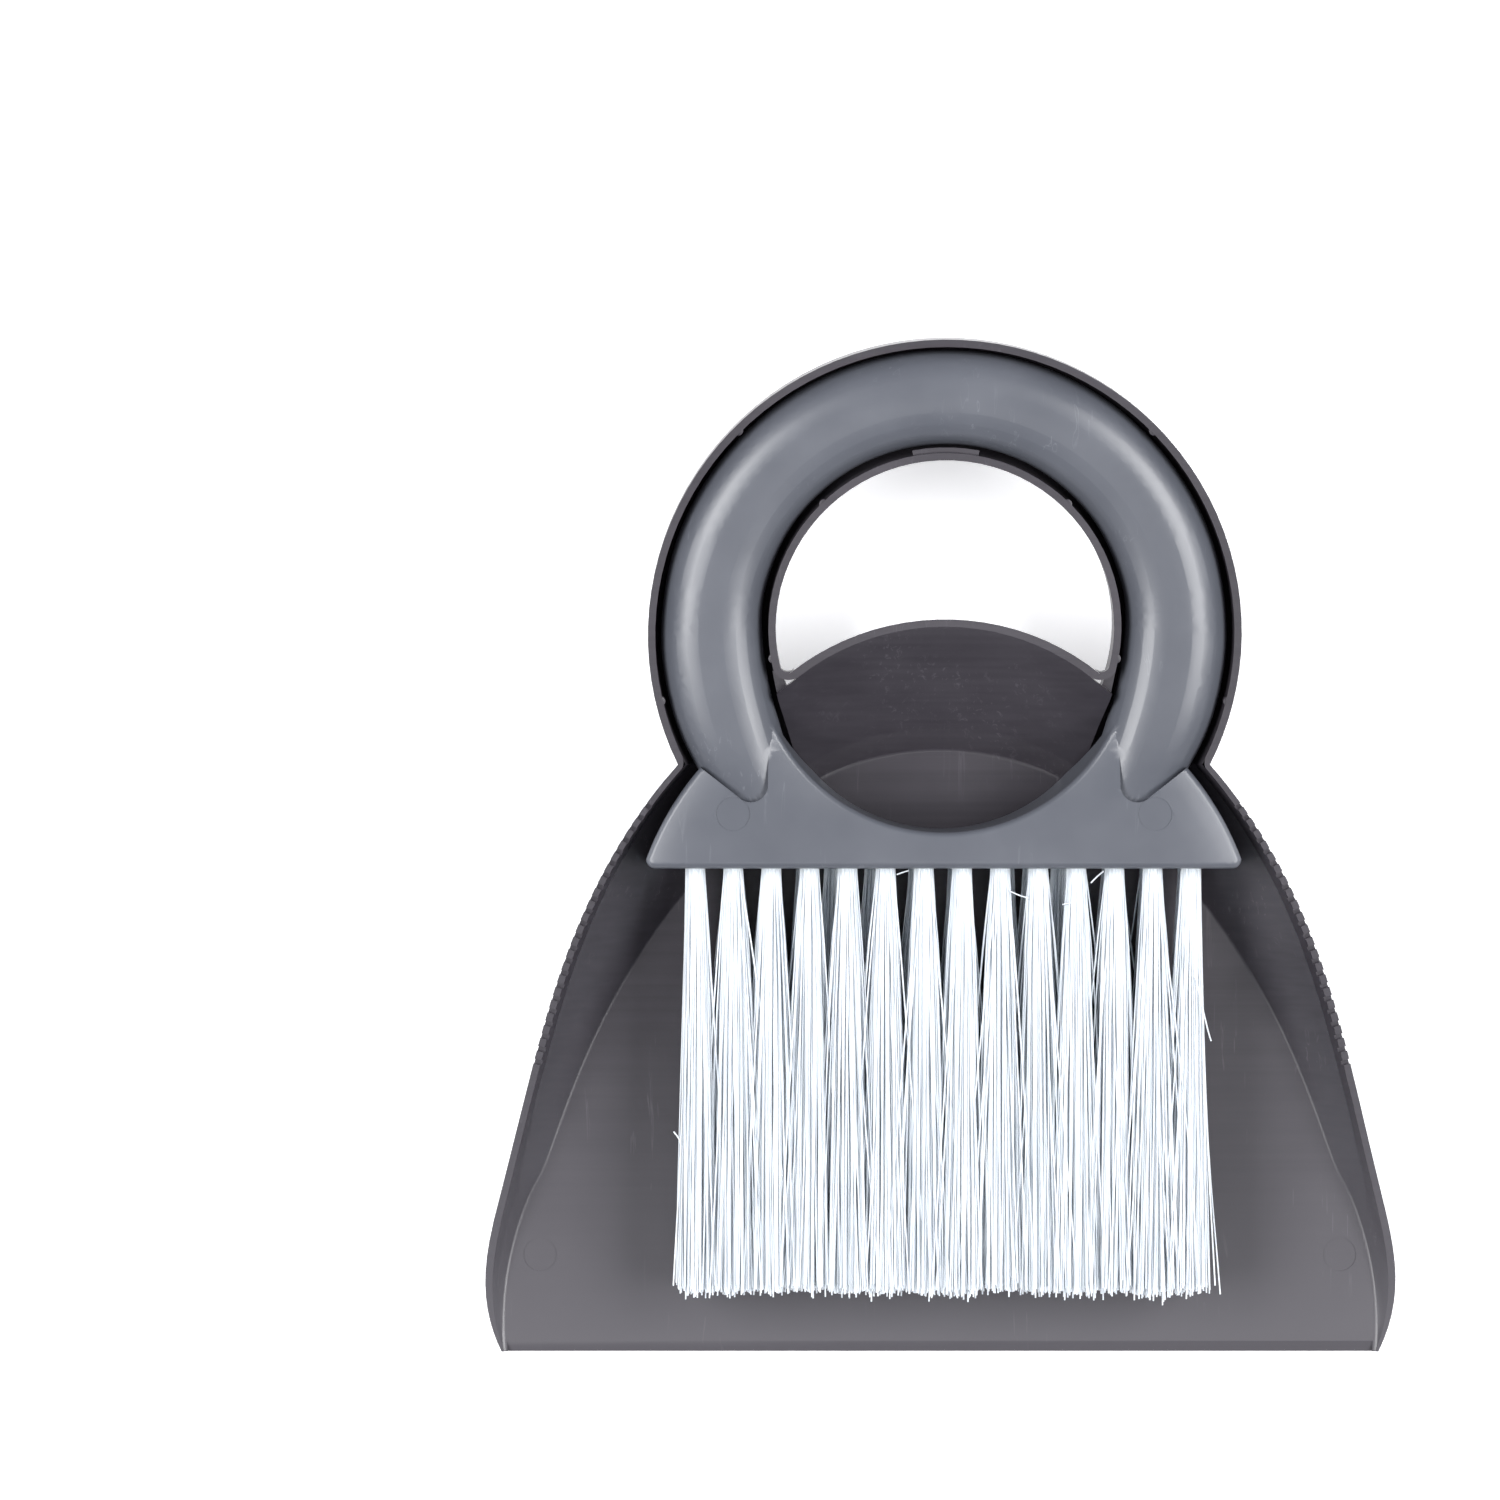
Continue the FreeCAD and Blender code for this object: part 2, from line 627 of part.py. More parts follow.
def head_rounded():
    # Rounds the front, the sides and the rear edge, but not the shoulders under the legs.
    blank = head_crowned()
    rear_y = HEAD_SIDE[-1][1]
    close = 0.01
    rounded = []
    for edge in blank.Edges:
        box = edge.BoundBox
        on_top = box.ZMin > size("headTop") - PLATE_LOW
        at_front = box.YMax < 0
        at_side = abs(box.YMax - rear_y) < close and box.YMin < 0
        at_rear = box.XLength > OPENING_TOP[1] and box.YMax > rear_y
        if on_top and (at_front or at_side or at_rear):
            rounded.append(edge)
    return blank.makeFillet(size("headEdge"), rounded)


def head_hollow():
    # Space under the plate behind the block, open below.
    wall = size("handleWall")
    plan = head_plan().makeOffset2D(-wall)
    right = plan.extrude(Vector(0, 0, size("headTop") - size("rearFall") / 2 - wall))
    left = right.mirror(Vector(0, 0, 0), Vector(1, 0, 0))
    behind = Part.makeBox(2 * REACH, REACH, 2 * REACH, Vector(-REACH, size("blockBack"), -REACH))
    return right.fuse(left).common(behind).cut(opening_cone(wall))


TUFT_TURN = Rotation(Vector(1, 0, 0), 90)       # a tuft's own Z points out of the head


def tuft_places():
    places = []
    for row in ("upper", "lower"):
        for number in range(1, TUFTS_PER_ROW + 1):
            places.append((row, number))
    return places


# The lower row is drilled unevenly: how far each hole is off its place, by number.
LOWER_SHIFT = {4: -0.7, 5: -2.9, 6: -2.3, 7: -1.0, 8: -0.6, 9: 1.4, 10: -0.8, 11: -3.0}


def row_place(row, number):
    # Expression for the X of a tuft's middle.
    steps = number - (TUFTS_PER_ROW + 1) / 2
    shift = LOWER_SHIFT.get(number, 0.0) if row == "lower" else 0.0
    return "Sizes.tuftPitch * %.1f + %.1f" % (steps, shift)


def bind_place(target, row, number, forward):
    # Binds a piece to its tuft: X from the pitch, Z from the row, Y from the head's front.
    target.setExpression("Placement.Base.x", row_place(row, number))
    target.setExpression("Placement.Base.y", "Sizes.headFront + " + forward)
    target.setExpression("Placement.Base.z", "Sizes.%sRow" % row)


def tuft_hole(row, number):
    hole = doc.addObject("Part::Cylinder", "hole_%s_%02d" % (row, number))
    hole.setExpression("Radius", "Sizes.tuftHole / 2")
    hole.setExpression("Height", "Sizes.tuftDepth + Sizes.past")
    hole.Placement.Rotation = TUFT_TURN
    bind_place(hole, row, number, "Sizes.tuftDepth")
    return hole


def anchor(name, row, number):
    # Flat wire driven across the bottom of a tuft's hole, its ends bitten into the block.
    wire = doc.addObject("Part::Box", "%s_%s_%02d" % (name, row, number))
    wire.setExpression("Length", "Sizes.anchorWidth")
    wire.setExpression("Width", "Sizes.anchorHigh")
    wire.setExpression("Height", "Sizes.anchorThick")
    wire.setExpression("Placement.Base.x", row_place(row, number) + " - Sizes.anchorWidth / 2")
    wire.setExpression("Placement.Base.y",
                       "Sizes.headFront + Sizes.tuftDepth - Sizes.anchorHigh - Sizes.anchorLift")
    wire.setExpression("Placement.Base.z", "Sizes.%sRow - Sizes.anchorThick / 2" % row)
    return wire


HEAD_MARK = (46.2, 8.9)             # X and Y of the mark on the right
head_shell = feature("head_shell", head_rounded())
wall_clear = feature("wall_clear", scoop_void(size("headClear"), size("headClear")))
head_fitted = common("head_fitted", [head_shell, wall_clear])
brush_blank = fuse("brush_blank", [head_fitted, handle_outside])
head_marks = [pin_mark("head_mark_right", HEAD_MARK[0], HEAD_MARK[1], size("headTop")),
              pin_mark("head_mark_left", -HEAD_MARK[0], HEAD_MARK[1], size("headTop"))]
holes = [tuft_hole(row, number) for row, number in tuft_places()]
slots = [anchor("slot", row, number) for row, number in tuft_places()]
brush_cuts = fuse("brush_cuts", [handle_hollow, feature("head_hollow", head_hollow())]
                  + head_marks + holes + slots)
brush_body = cut("brush_body", brush_blank, brush_cuts)


# ---------------------------------------------------------------- tufts and anchors
def tuft(row, number):
    body = doc.addObject("PartDesign::Body", "tuft_%s_%02d" % (row, number))
    root = body.newObject("PartDesign::AdditiveCylinder", "root_%s_%02d" % (row, number))
    root.setExpression("Radius", "Sizes.tuftRoot / 2")
    root.setExpression("Height", "Sizes.tuftDepth - Sizes.tuftClear")
    root.setExpression("Placement.Base.z", "Sizes.tuftClear - Sizes.tuftDepth")
    fan = body.newObject("PartDesign::AdditiveCone", "fan_%s_%02d" % (row, number))
    fan.setExpression("Radius1", "Sizes.tuftRoot / 2")
    fan.setExpression("Radius2", "Sizes.tuftSpread / 2")
    fan.setExpression("Height", "Sizes.tuftLength")
    fold = body.newObject("PartDesign::SubtractiveBox", "fold_%s_%02d" % (row, number))
    fold.setExpression("Length", "Sizes.anchorWidth")
    fold.setExpression("Width", "Sizes.anchorThick")
    fold.setExpression("Height", "Sizes.anchorHigh")
    fold.setExpression("Placement.Base.x", "-Sizes.anchorWidth / 2")
    fold.setExpression("Placement.Base.y", "-Sizes.anchorThick / 2")
    fold.setExpression("Placement.Base.z", "Sizes.anchorLift - Sizes.tuftDepth")
    body.Tip = fold
    body.Placement.Rotation = TUFT_TURN
    bind_place(body, row, number, "0")
    return body


tufts = [tuft(row, number) for row, number in tuft_places()]
anchor_rows = []
for row in ("upper", "lower"):
    wires = [anchor("anchor", row, number) for number in range(1, TUFTS_PER_ROW + 1)]
    group = doc.addObject("Part::Compound", "anchors_%s_row" % row)
    group.Links = wires
    anchor_rows.append(group)


# ---------------------------------------------------------------- check and write
doc.recompute()
PIECES = [dustpan, brush_body] + tufts + anchor_rows

for item in doc.Objects:
    if "Invalid" in item.State or "Error" in item.State:
        raise RuntimeError("%s: %s" % (item.Name, item.State))
for piece in PIECES:
    piece.Label = piece.Name
    if piece.Shape.isNull() or not piece.Shape.isValid():
        raise RuntimeError("%s has no sound shape" % piece.Label)

os.makedirs("parts", exist_ok=True)
for piece in PIECES:
    piece.Shape.exportStep("parts/%s.step" % piece.Label)
    print("%-20s solids %2d  volume %9.1f" % (piece.Label, len(piece.Shape.Solids), piece.Shape.Volume))
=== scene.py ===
import math
import random

import bpy
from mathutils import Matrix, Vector


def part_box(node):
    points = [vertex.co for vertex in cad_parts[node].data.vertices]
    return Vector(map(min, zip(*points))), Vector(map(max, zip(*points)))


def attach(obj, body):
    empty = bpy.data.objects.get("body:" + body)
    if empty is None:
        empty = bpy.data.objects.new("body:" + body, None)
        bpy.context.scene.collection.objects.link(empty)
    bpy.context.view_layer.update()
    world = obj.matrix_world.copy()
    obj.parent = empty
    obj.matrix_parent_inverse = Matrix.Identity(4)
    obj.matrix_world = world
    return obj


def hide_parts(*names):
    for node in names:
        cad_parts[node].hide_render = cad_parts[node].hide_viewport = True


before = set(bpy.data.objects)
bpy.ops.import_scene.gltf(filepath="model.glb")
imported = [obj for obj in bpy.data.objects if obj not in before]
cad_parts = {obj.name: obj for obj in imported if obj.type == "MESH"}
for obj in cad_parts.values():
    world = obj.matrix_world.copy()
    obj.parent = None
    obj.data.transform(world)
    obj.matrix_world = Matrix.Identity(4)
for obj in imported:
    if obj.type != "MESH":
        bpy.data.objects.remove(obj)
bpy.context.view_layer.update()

print("frame loaded")


def linear(hexColour):
    # sRGB hex to the linear colour that the shader sockets want
    channels = []
    for start in (1, 3, 5):
        value = int(hexColour[start:start + 2], 16) / 255
        channels.append(value / 12.92 if value <= 0.04045 else ((value + 0.055) / 1.055) ** 2.4)
    return (*channels, 1.0)


def addNode(material, kind, settings=None, links=None):
    # settings: node properties and socket values; links: my input socket -> (node, output)
    node = material.node_tree.nodes.new(kind)
    for name, value in (settings or {}).items():
        if isinstance(name, int) or name in node.inputs:
            node.inputs[name].default_value = value
        else:
            setattr(node, name, value)
    for name, (source, output) in (links or {}).items():
        material.node_tree.links.new(source.outputs[output], node.inputs[name])
    return node


def newMaterial(name):
    material = bpy.data.materials.new(name)
    material.use_nodes = True
    material.node_tree.nodes.clear()
    return material


def finishMaterial(material, shader, bump=None):
    if bump:
        material.node_tree.links.new(bump.outputs["Normal"], shader.inputs["Normal"])
    addNode(material, "ShaderNodeOutputMaterial", {}, {"Surface": (shader, "BSDF")})
    return material


def stops(ramp, colours):
    # colours: list of (place, linear colour)
    elements = ramp.color_ramp.elements
    while len(elements) > 1:
        elements.remove(elements[-1])
    elements[0].position, elements[0].color = colours[0]
    for place, colour in colours[1:]:
        elements.new(place).color = colour


def selectOnly(piece):
    bpy.ops.object.select_all(action="DESELECT")
    piece.select_set(True)
    bpy.context.view_layer.objects.active = piece


def wear(piece, material, slotName, bodyName, *cadNodes):
    # one material, a slot name that is not used, one body, and the CAD nodes it stands for
    piece.data.materials.clear()
    piece.data.materials.append(material)
    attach(piece, bodyName)
    if cadNodes:
        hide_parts(*cadNodes)


black = (0.0, 0.0, 0.0, 1.0)
white = (1.0, 1.0, 1.0, 1.0)

# what both mouldings share: places on noise and ramps, and stretches along X, Y and Z
mouldingLook = {
    "tones": ((0.32, "deep"), (0.52, "base"), (0.72, "pale")),
    "lineStretch": (0.012, 1.0, 0.3), "line": (0.35, 0.65),
    "scuffStretch": (1.0, 0.06, 1.0), "scuffRidge": (0.655, 0.68, 0.705), "patch": (0.5, 0.68),
    "scuffRough": 0.18, "gloss": (0.3, 0.7), "swellBump": 0.25, "grainBump": 0.22, "ior": 1.49,
}


def mouldedPolypropylene(name, look):
    # Injection-moulded polypropylene: soft satin gloss, faint haze where the melt flowed,
    # and fine pale scuffs from handling and packing.
    material = newMaterial(name)
    coords = addNode(material, "ShaderNodeTexCoord")
    where = (coords, "Object")
    cloud = addNode(material, "ShaderNodeTexNoise", {"Scale": 1 / look["hazeMetres"], "Detail": 4.0,
                                                     "Roughness": 0.55},
                    {"Vector": where})
    tone = addNode(material, "ShaderNodeValToRGB", {}, {"Fac": (cloud, "Fac")})
    stops(tone, [(place, linear(look[shade])) for place, shade in mouldingLook["tones"]])
    tint = (tone, "Color")
    if "lineMetres" in look:
        # faint lines across the floor from the polish of the mould
        level = addNode(material, "ShaderNodeMapping", {"Scale": mouldingLook["lineStretch"]},
                        {"Vector": where})
        lines = addNode(material, "ShaderNodeTexNoise", {"Scale": 1 / look["lineMetres"], "Detail": 3.0},
                        {"Vector": (level, "Vector")})
        lineFrom, lineTo = mouldingLook["line"]
        faint = addNode(material, "ShaderNodeMapRange", {"From Min": lineFrom, "From Max": lineTo,
                                                         "To Max": look["lineStrength"]},
                        {"Value": (lines, "Fac")})
        lined = addNode(material, "ShaderNodeMix", {"data_type": "RGBA", 7: linear(look["scuff"])},
                        {0: (faint, "Result"), 6: tint})
        tint = (lined, 2)
    if "paintedLight" in look:
        # painted light: the floor drawn paler towards the mouth, where more light reaches it
        along = addNode(material, "ShaderNodeSeparateXYZ", {}, {"Vector": where})
        paintedLightShare = addNode(material, "ShaderNodeMapRange", {"From Min": look["paintedLightFrom"],
                                                          "From Max": look["paintedLightTo"]},
                         {"Value": (along, "Y")})
        paintedLightTint = addNode(material, "ShaderNodeMix", {"data_type": "RGBA", 7: linear(look["paintedLight"])},
                        {0: (paintedLightShare, "Result"), 6: tint})
        tint = (paintedLightTint, 2)
    # scuffs: thin ridges of a stretched noise, at two headings
    scuffs = []
    for turn in look["scuffTurns"]:
        turned = addNode(material, "ShaderNodeMapping", {"Rotation": (0, 0, turn),
                                                         "Scale": mouldingLook["scuffStretch"]},
                         {"Vector": where})
        streak = addNode(material, "ShaderNodeTexNoise",
                         {"Scale": 1 / look["scuffMetres"], "Detail": 2.0, "Distortion": 0.6},
                         {"Vector": (turned, "Vector")})
        thin = addNode(material, "ShaderNodeValToRGB", {}, {"Fac": (streak, "Fac")})
        start, crest, end = mouldingLook["scuffRidge"]
        stops(thin, [(0.0, black), (start, black), (crest, white), (end, black)])
        scuffs.append(thin)
    patch = addNode(material, "ShaderNodeTexNoise", {"Scale": 1 / look["patchMetres"], "Detail": 1.0},
                    {"Vector": where})
    patchFrom, patchTo = mouldingLook["patch"]
    inPatch = addNode(material, "ShaderNodeMapRange", {"From Min": patchFrom, "From Max": patchTo},
                      {"Value": (patch, "Fac")})
    both = addNode(material, "ShaderNodeMath", {"operation": "MAXIMUM"},
                   {0: (scuffs[0], "Color"), 1: (scuffs[1], "Color")})
    marks = addNode(material, "ShaderNodeMath", {"operation": "MULTIPLY"},
                    {0: (both, "Value"), 1: (inPatch, "Result")})
    amount = addNode(material, "ShaderNodeMath", {"operation": "MULTIPLY", 1: look["scuffStrength"]},
                     {0: (marks, "Value")})
    colour = addNode(material, "ShaderNodeMix", {"data_type": "RGBA", 7: linear(look["scuff"])},
                     {0: (amount, "Value"), 6: tint})
    glossFrom, glossTo = mouldingLook["gloss"]
    gloss = addNode(material, "ShaderNodeMapRange",
                    {"From Min": glossFrom, "From Max": glossTo,
                     "To Min": look["roughLow"], "To Max": look["roughHigh"]},
                    {"Value": (cloud, "Fac")})
    rough = addNode(material, "ShaderNodeMath",
                    {"operation": "MULTIPLY_ADD", 1: mouldingLook["scuffRough"]},
                    {0: (amount, "Value"), 2: (gloss, "Result")})
    # tool surface: a very fine even grain, drawn at half a millimetre so that it shows
    grain = addNode(material, "ShaderNodeTexNoise", {"Scale": 1 / look["grainMetres"], "Detail": 3.0},
                    {"Vector": where})
    swell = addNode(material, "ShaderNodeTexNoise", {"Scale": 1 / look["swellMetres"], "Detail": 1.0},
                    {"Vector": where})
    slow = addNode(material, "ShaderNodeBump",
                   {"Strength": mouldingLook["swellBump"], "Distance": look["swellDepth"]},
                   {"Height": (swell, "Fac")})
    fine = addNode(material, "ShaderNodeBump",
                   {"Strength": mouldingLook["grainBump"], "Distance": look["grainDepth"]},
                   {"Height": (grain, "Fac"), "Normal": (slow, "Normal")})
    shader = addNode(material, "ShaderNodeBsdfPrincipled",
                     {"IOR": mouldingLook["ior"], "Specular IOR Level": look["shine"]},
                     {"Base Color": (colour, 2), "Roughness": (rough, "Value")})
    return finishMaterial(material, shader, fine)


brushPlasticLook = {
    "deep": "#54575f", "base": "#595c64", "pale": "#60636b", "scuff": "#95969e",
    "hazeMetres": 0.035, "scuffMetres": 0.0016, "patchMetres": 0.02, "scuffTurns": (0.5, -0.9),
    "scuffStrength": 0.28, "roughLow": 0.33, "roughHigh": 0.41, "shine": 0.8,
    "grainMetres": 0.0005, "grainDepth": 0.00002, "swellMetres": 0.018, "swellDepth": 0.0006,
}
panPlasticLook = {
    "deep": "#333036", "base": "#38353b", "pale": "#3f3c42", "scuff": "#7e7a82",
    # painted light: a paler floor colour towards the mouth, and where it starts and ends along Y
    "paintedLight": "#525055", "paintedLightFrom": -0.035, "paintedLightTo": -0.105, "lineMetres": 0.0012, "lineStrength": 0.04,
    "hazeMetres": 0.045, "scuffMetres": 0.0015, "patchMetres": 0.024, "scuffTurns": (1.3, 0.15),
    "scuffStrength": 0.25, "roughLow": 0.30, "roughHigh": 0.38, "shine": 0.7,
    "grainMetres": 0.0005, "grainDepth": 0.00002, "swellMetres": 0.025, "swellDepth": 0.0006,
}


def polyesterFilament(name, look):
    # Extruded PET filament: smooth and bright, so a bundle reads as near white with cool
    # shade between the hairs.
    material = newMaterial(name)
    coords = addNode(material, "ShaderNodeTexCoord")
    stretched = addNode(material, "ShaderNodeMapping", {"Scale": look["stretch"]},
                        {"Vector": (coords, "Object")})
    strand = addNode(material, "ShaderNodeTexNoise", {"Scale": 1 / look["strandMetres"], "Detail": 2.0},
                     {"Vector": (stretched, "Vector")})
    tone = addNode(material, "ShaderNodeValToRGB", {}, {"Fac": (strand, "Fac")})
    stops(tone, [(place, linear(look[shade])) for place, shade in look["tones"]])
    shader = addNode(material, "ShaderNodeBsdfPrincipled", {"Roughness": look["rough"], "IOR": look["ior"]},
                     {"Base Color": (tone, "Color")})
    return finishMaterial(material, shader)


filamentLook = {
    "cool": "#dfe5ec", "base": "#e8eef4", "bright": "#f3f8fb",
    "tones": ((0.30, "cool"), (0.5, "base"), (0.7, "bright")),
    "strandMetres": 0.0006, "stretch": (1.0, 0.02, 1.0), "rough": 0.3, "ior": 1.575,
}


def drawnSteelWire(name, look):
    # Flat drawn steel, cut and driven: long fine draw lines and a dull shine.
    material = newMaterial(name)
    coords = addNode(material, "ShaderNodeTexCoord")
    lines = addNode(material, "ShaderNodeMapping", {"Scale": look["stretch"]},
                    {"Vector": (coords, "Object")})
    draw = addNode(material, "ShaderNodeTexNoise", {"Scale": 1 / look["drawMetres"], "Detail": 2.0},
                   {"Vector": (lines, "Vector")})
    rough = addNode(material, "ShaderNodeMapRange",
                    {"To Min": look["roughLow"], "To Max": look["roughHigh"]},
                    {"Value": (draw, "Fac")})
    bump = addNode(material, "ShaderNodeBump", {"Strength": look["bump"], "Distance": look["drawDepth"]},
                   {"Height": (draw, "Fac")})
    shader = addNode(material, "ShaderNodeBsdfPrincipled",
                     {"Base Color": linear(look["base"]), "Metallic": 1.0},
                     {"Roughness": (rough, "Result")})
    return finishMaterial(material, shader, bump)


wireLook = {
    "base": "#b9b9b4", "stretch": (0.05, 1.0, 1.0), "drawMetres": 0.0002, "drawDepth": 0.00002,
    "bump": 0.2, "roughLow": 0.28, "roughHigh": 0.45,
}

brushPlastic = mouldedPolypropylene("moulded polypropylene, brush", brushPlasticLook)
panPlastic = mouldedPolypropylene("moulded polypropylene, pan", panPlasticLook)
filament = polyesterFilament("extruded PET filament", filamentLook)
anchorSteel = drawnSteelWire("drawn flat steel wire", wireLook)
print("materials ready")


def softenedCopy(nodeName, newName, look):
    # the CAD moulding again, welded and with its sharp edges broken as a mould leaves them
    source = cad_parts[nodeName]
    piece = source.copy()
    piece.data = source.data.copy()
    piece.name = newName
    bpy.context.collection.objects.link(piece)
    piece.parent = None
    selectOnly(piece)
    bpy.ops.object.mode_set(mode="EDIT")
    bpy.ops.mesh.select_all(action="SELECT")
    bpy.ops.mesh.remove_doubles(threshold=look["weld"])
    bpy.ops.mesh.dissolve_limited(angle_limit=math.radians(look["flat"]))
    bpy.ops.object.mode_set(mode="OBJECT")
    edge = piece.modifiers.new("broken edges", "BEVEL")
    edge.width = look["edge"]
    edge.segments = look["steps"]
    edge.limit_method = "ANGLE"
    edge.angle_limit = math.radians(look["sharp"])
    edge.use_clamp_overlap = True
    bpy.ops.object.modifier_apply(modifier=edge.name)
    bpy.ops.object.shade_smooth_by_angle(angle=math.radians(look["sharp"]))
    # broad flat faces keep their own normals, so the small marks in them do not tilt the shading
    weighted = piece.modifiers.new("flat faces stay flat", "WEIGHTED_NORMAL")
    weighted.keep_sharp = True
    weighted.weight = look["flatWeight"]
    bpy.ops.object.modifier_apply(modifier=weighted.name)
    return piece


# metres, and degrees for flat and sharp
panLook = {"weld": 0.00001, "flat": 0.2, "edge": 0.00035, "steps": 2, "sharp": 32, "flatWeight": 80}
brushLook = {"weld": 0.00001, "flat": 0.2, "edge": 0.0003, "steps": 2, "sharp": 32, "flatWeight": 80}

pan = softenedCopy("dustpan", "dustpan_moulding", panLook)
wear(pan, panPlastic, "moulded_polypropylene", "pan", "dustpan")
print("dustpan done", len(pan.data.polygons))
brush = softenedCopy("brush_body", "brush_moulding", brushLook)
wear(brush, brushPlastic, "moulded_polypropylene", "brush", "brush_body")
print("brush done", len(brush.data.polygons))

for row in ("upper", "lower"):
    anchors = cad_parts["anchors_%s_row" % row]
    anchors.data.materials.clear()
    anchors.data.materials.append(anchorSteel)


tuftLook = {
    "filaments": 250, "radius": 0.000165, "packed": 0.00205, "fanned": 0.0037, "fanLength": 0.030,
    "steps": 7, "inside": 0.0015, "short": 0.0022, "tipScatter": 0.0007, "tuftScatter": 0.0005,
    "longShare": 0.05, "longExtra": 0.0018, "lean": 0.0010, "cross": 0.0008, "droop": 0.0012,
    "looseShare": 0.28, "looseLean": 0.0034, "looseRim": 0.75, "outerHold": 0.35, "riseShare": 0.55,
    "spacing": 0.9, "bend": 2.6, "longLeast": 0.4, "seed": 7,
}


def strandPath(root, out, chance, look, length, outward):
    # points of one filament from inside its hole to its tip; outward is the side with no neighbour
    spread = math.hypot(*out)
    lean = chance.gauss(0, look["lean"])
    if spread > look["looseRim"] and chance.random() < look["looseShare"]:
        lean += math.copysign(abs(chance.gauss(0, look["looseLean"])), out[0])
    rise = chance.gauss(0, look["lean"] * look["riseShare"])
    cross = chance.gauss(0, look["cross"])
    phase = chance.uniform(0, math.pi)
    if lean * outward > 0:
        lean *= look["outerHold"]
    points = [(root.x + out[0] * look["packed"], root.y + look["inside"], root.z + out[1] * look["packed"])]
    for step in range(look["steps"] + 1):
        along = length * (step / look["steps"]) ** look["spacing"]
        share = along / length
        opened = 1 - math.exp(-along / look["fanLength"])
        fan = look["packed"] + (look["fanned"] - look["packed"]) * opened
        if out[0] * outward > 0:
            fan = look["packed"] + (fan - look["packed"]) * look["outerHold"]
        wander = cross * math.sin(phase + share * look["bend"]) * share
        x = root.x + out[0] * fan + lean * share + wander
        z = root.z + out[1] * fan + rise * share - look["droop"] * share ** 2
        points.append((x, root.y - along, z))
    return points


def strandCurve(name, paths, radius):
    # thin round strands on one curve object, turned into a closed mesh
    curve = bpy.data.curves.new(name, "CURVE")
    curve.dimensions = "3D"
    curve.bevel_depth = radius
    curve.bevel_resolution = 0
    curve.use_fill_caps = True
    for points in paths:
        spline = curve.splines.new("POLY")
        spline.points.add(len(points) - 1)
        flat = []
        for x, y, z in points:
            flat.extend((x, y, z, 1.0))
        spline.points.foreach_set("co", flat)
    piece = bpy.data.objects.new(name, curve)
    bpy.context.collection.objects.link(piece)
    selectOnly(piece)
    bpy.ops.object.convert(target="MESH")
    bpy.ops.object.shade_smooth()
    return bpy.context.view_layer.objects.active


# filaments that strayed in packing: the tuft they belong to, then places out from its
# root in millimetres (across, along, up)
strayFilaments = {
    ("upper", 14): [
        [(2.1, 0, 0.2), (2.4, 20, 0.6), (3.0, 45, 0.8), (4.2, 93, 0.2)],
        [(2.0, 0, 0.8), (2.6, 30, 1.2), (3.6, 60, 1.0), (5.4, 92, 0.0)],
        [(2.2, 0, -0.4), (2.3, 18, 0.4), (3.8, 60, 0.2), (6.6, 94, -0.6)],
        [(1.9, 0, 1.0), (2.2, 26, 1.4), (2.9, 60, 1.4), (3.4, 93.5, 0.9)],
        [(1.7, 0, 1.2), (1.9, 30, 1.9), (2.2, 60, 2.0), (2.6, 92.6, 1.6)],
        [(0.9, 24, 2.4), (2.0, 29, 2.9), (3.4, 35, 2.7), (4.3, 38, 2.2)],
    ],
    ("upper", 1): [
        [(-2.0, 0, 0.3), (-2.3, 30, 0.9), (-3.2, 62, 0.8), (-4.8, 92, 0.2)],
        [(-3.1, 61, 0.6), (-3.6, 59.5, 1.0), (-4.7, 58, 1.3)],
    ],
    ("upper", 9): [[(2.0, 5.0, 2.0), (4.0, 5.9, 2.4), (6.2, 6.6, 2.0)]],
    ("upper", 11): [[(3.1, 3.2, 2.2), (4.2, 2.0, 2.6), (5.8, 0.6, 2.8)]],
    ("upper", 6): [[(2.4, 1.4, 2.0), (3.6, 0.9, 2.5), (5.0, 0.5, 2.4)]],
    ("upper", 10): [[(5.2, 8.0, 1.6), (6.4, 7.7, 1.9), (7.6, 7.6, 1.7)]],
}
strayBend = 4       # points between two given places


def strayPath(root, places):
    # a smooth line through the given places
    spots = [root + Vector((across, -along, up)) / 1000 for across, along, up in places]
    spots = [2 * spots[0] - spots[1]] + spots + [2 * spots[-1] - spots[-2]]
    points = []
    for before, start, end, after in zip(spots, spots[1:], spots[2:], spots[3:]):
        for step in range(strayBend):
            t = step / strayBend
            square = before - 2.5 * start + 2 * end - 0.5 * after
            cube = 1.5 * (start - end) + 0.5 * (after - before)
            points.append(tuple(start + 0.5 * t * (end - before) + t * t * square + t ** 3 * cube))
    points.append(tuple(spots[-2]))
    return points


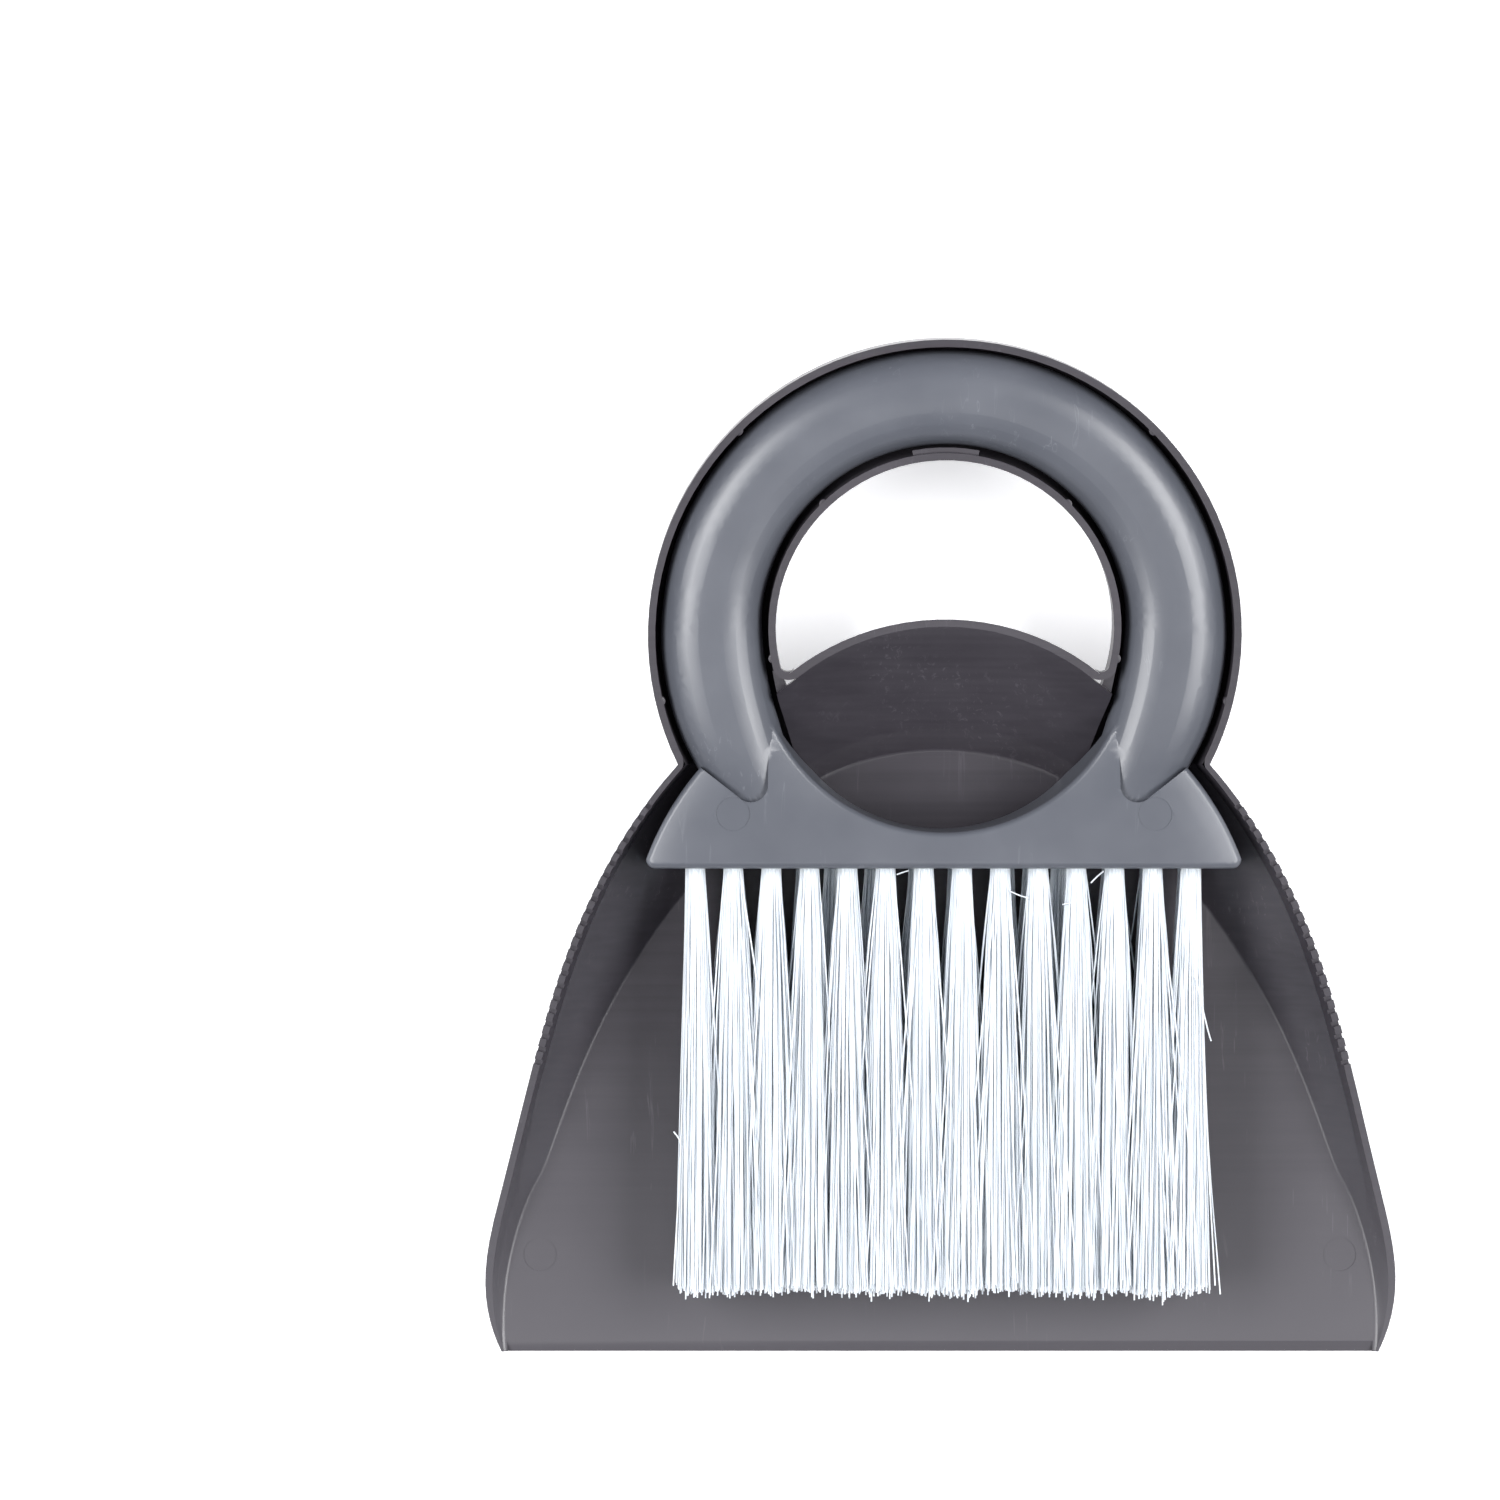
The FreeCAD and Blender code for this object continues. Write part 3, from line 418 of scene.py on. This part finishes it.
def makeTuft(row, number, count):
    nodeName = "tuft_%s_%02d" % (row, number)
    low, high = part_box(nodeName)
    root = Vector(((low[0] + high[0]) / 2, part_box("brush_body")[0][1], (low[2] + high[2]) / 2))
    reach = root.y - low[1] - tuftLook["short"]
    chance = random.Random("%s %s %d" % (tuftLook["seed"], row, number))
    tuftLength = reach + chance.gauss(0, tuftLook["tuftScatter"])
    outward = {1: -1, count: 1}.get(number, 0)
    paths = []
    for strand in range(tuftLook["filaments"]):
        # sunflower packing fills the round hole evenly
        spread = math.sqrt((strand + 0.5) / tuftLook["filaments"])
        turn = strand * math.pi * (3 - math.sqrt(5))
        out = (spread * math.cos(turn), spread * math.sin(turn))
        length = tuftLength + chance.gauss(0, tuftLook["tipScatter"])
        if chance.random() < tuftLook["longShare"]:
            length += chance.uniform(tuftLook["longLeast"], 1.0) * tuftLook["longExtra"]
        paths.append(strandPath(root, out, chance, tuftLook, length, outward))
    for places in strayFilaments.get((row, number), []):
        paths.append(strayPath(root, places))
    tuft = strandCurve("bristles_%s_%02d" % (row, number), paths, tuftLook["radius"])
    wear(tuft, filament, "bristle_filament", "brush", nodeName)


for row in ("upper", "lower"):
    names = [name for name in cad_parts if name.startswith("tuft_%s_" % row)]
    for number in range(1, len(names) + 1):
        makeTuft(row, number, len(names))
    print("bristles", row, "row done")


studioLook = {
    "floor": "#fbfbfc", "floorSize": 6.0, "floorRough": 0.9, "floorShine": 0.1, "glow": 0.45,
    "sky": "#eef2ff", "ceiling": 0.15, "sides": 0.30, "acrossSpan": (0.1, 0.85),
    "frontShare": 0.6, "frontSpan": (-0.75, 0.15),
    "boxPower": 18.5, "boxAlong": 1.10, "boxUp": 0.56, "boxPlace": (0.84, 0.06, 0.94),
    "topPower": 1.1, "topAcross": 0.8, "topDeep": 0.32, "topPlace": (0.0, -0.42, 1.25),
}


def paleFloor():
    # a product table that glows a little from below, so the shadows on it stay faint
    bpy.ops.object.select_all(action="DESELECT")
    bpy.ops.mesh.primitive_plane_add(size=studioLook["floorSize"], location=(0, 0, 0))
    floor = bpy.context.view_layer.objects.active
    floor.name = "studio_floor"
    material = newMaterial("pale studio floor")
    shader = addNode(material, "ShaderNodeBsdfPrincipled",
                     {"Base Color": linear(studioLook["floor"]), "Roughness": studioLook["floorRough"],
                      "Specular IOR Level": studioLook["floorShine"],
                      "Emission Color": linear(studioLook["floor"]),
                      "Emission Strength": studioLook["glow"]})
    floor.data.materials.append(finishMaterial(material, shader))


def studioWorld():
    # a light tent: brighter cloth left and right, dimmer overhead and towards the front
    world = bpy.data.worlds.new("light tent")
    bpy.context.scene.world = world
    world.use_nodes = True
    world.node_tree.nodes.clear()
    coords = addNode(world, "ShaderNodeTexCoord")
    split = addNode(world, "ShaderNodeSeparateXYZ", {}, {"Vector": (coords, "Generated")})
    across = addNode(world, "ShaderNodeMath", {"operation": "ABSOLUTE"}, {0: (split, "X")})
    middle, edge = studioLook["acrossSpan"]
    cloth = addNode(world, "ShaderNodeMapRange",
                    {"From Min": middle, "From Max": edge, "To Min": studioLook["ceiling"],
                     "To Max": studioLook["sides"]}, {"Value": (across, "Value")})
    frontEnd, rearEnd = studioLook["frontSpan"]
    front = addNode(world, "ShaderNodeMapRange",
                    {"From Min": frontEnd, "From Max": rearEnd, "To Min": studioLook["frontShare"],
                     "To Max": 1.0}, {"Value": (split, "Y")})
    both = addNode(world, "ShaderNodeMath", {"operation": "MULTIPLY"},
                   {0: (cloth, "Result"), 1: (front, "Result")})
    glow = addNode(world, "ShaderNodeBackground", {"Color": linear(studioLook["sky"])},
                   {"Strength": (both, "Value")})
    addNode(world, "ShaderNodeOutputWorld", {}, {"Surface": (glow, "Background")})


def softbox(name, place, power, along, up):
    # aimed at the origin, its long side level with the table
    light = bpy.data.lights.new(name, "AREA")
    light.shape = "RECTANGLE"
    light.energy = power
    light.size = along
    light.size_y = up
    box = bpy.data.objects.new(name, light)
    bpy.context.collection.objects.link(box)
    box.location = place
    box.rotation_euler = (-Vector(place)).to_track_quat("-Z", "Y").to_euler()


paleFloor()
studioWorld()
boxX, boxY, boxZ = studioLook["boxPlace"]
for sign, label in ((1, "right"), (-1, "left")):
    softbox("softbox_" + label, (sign * boxX, boxY, boxZ), studioLook["boxPower"], studioLook["boxAlong"],
            studioLook["boxUp"])
softbox("softbox_top", studioLook["topPlace"], studioLook["topPower"], studioLook["topAcross"],
        studioLook["topDeep"])

cameraLook = {"place": (-0.0425, 0.0229, 1.06), "sensor": 36.0, "fieldWidth": 0.33645}
camera = bpy.data.cameras.new("overhead_camera")
camera.sensor_width = cameraLook["sensor"]
camera.lens = cameraLook["sensor"] * cameraLook["place"][2] / cameraLook["fieldWidth"]
viewer = bpy.data.objects.new("overhead_camera", camera)
bpy.context.collection.objects.link(viewer)
viewer.location = cameraLook["place"]
bpy.context.scene.camera = viewer
bpy.context.scene.view_settings.view_transform = "Standard"
print("studio ready")
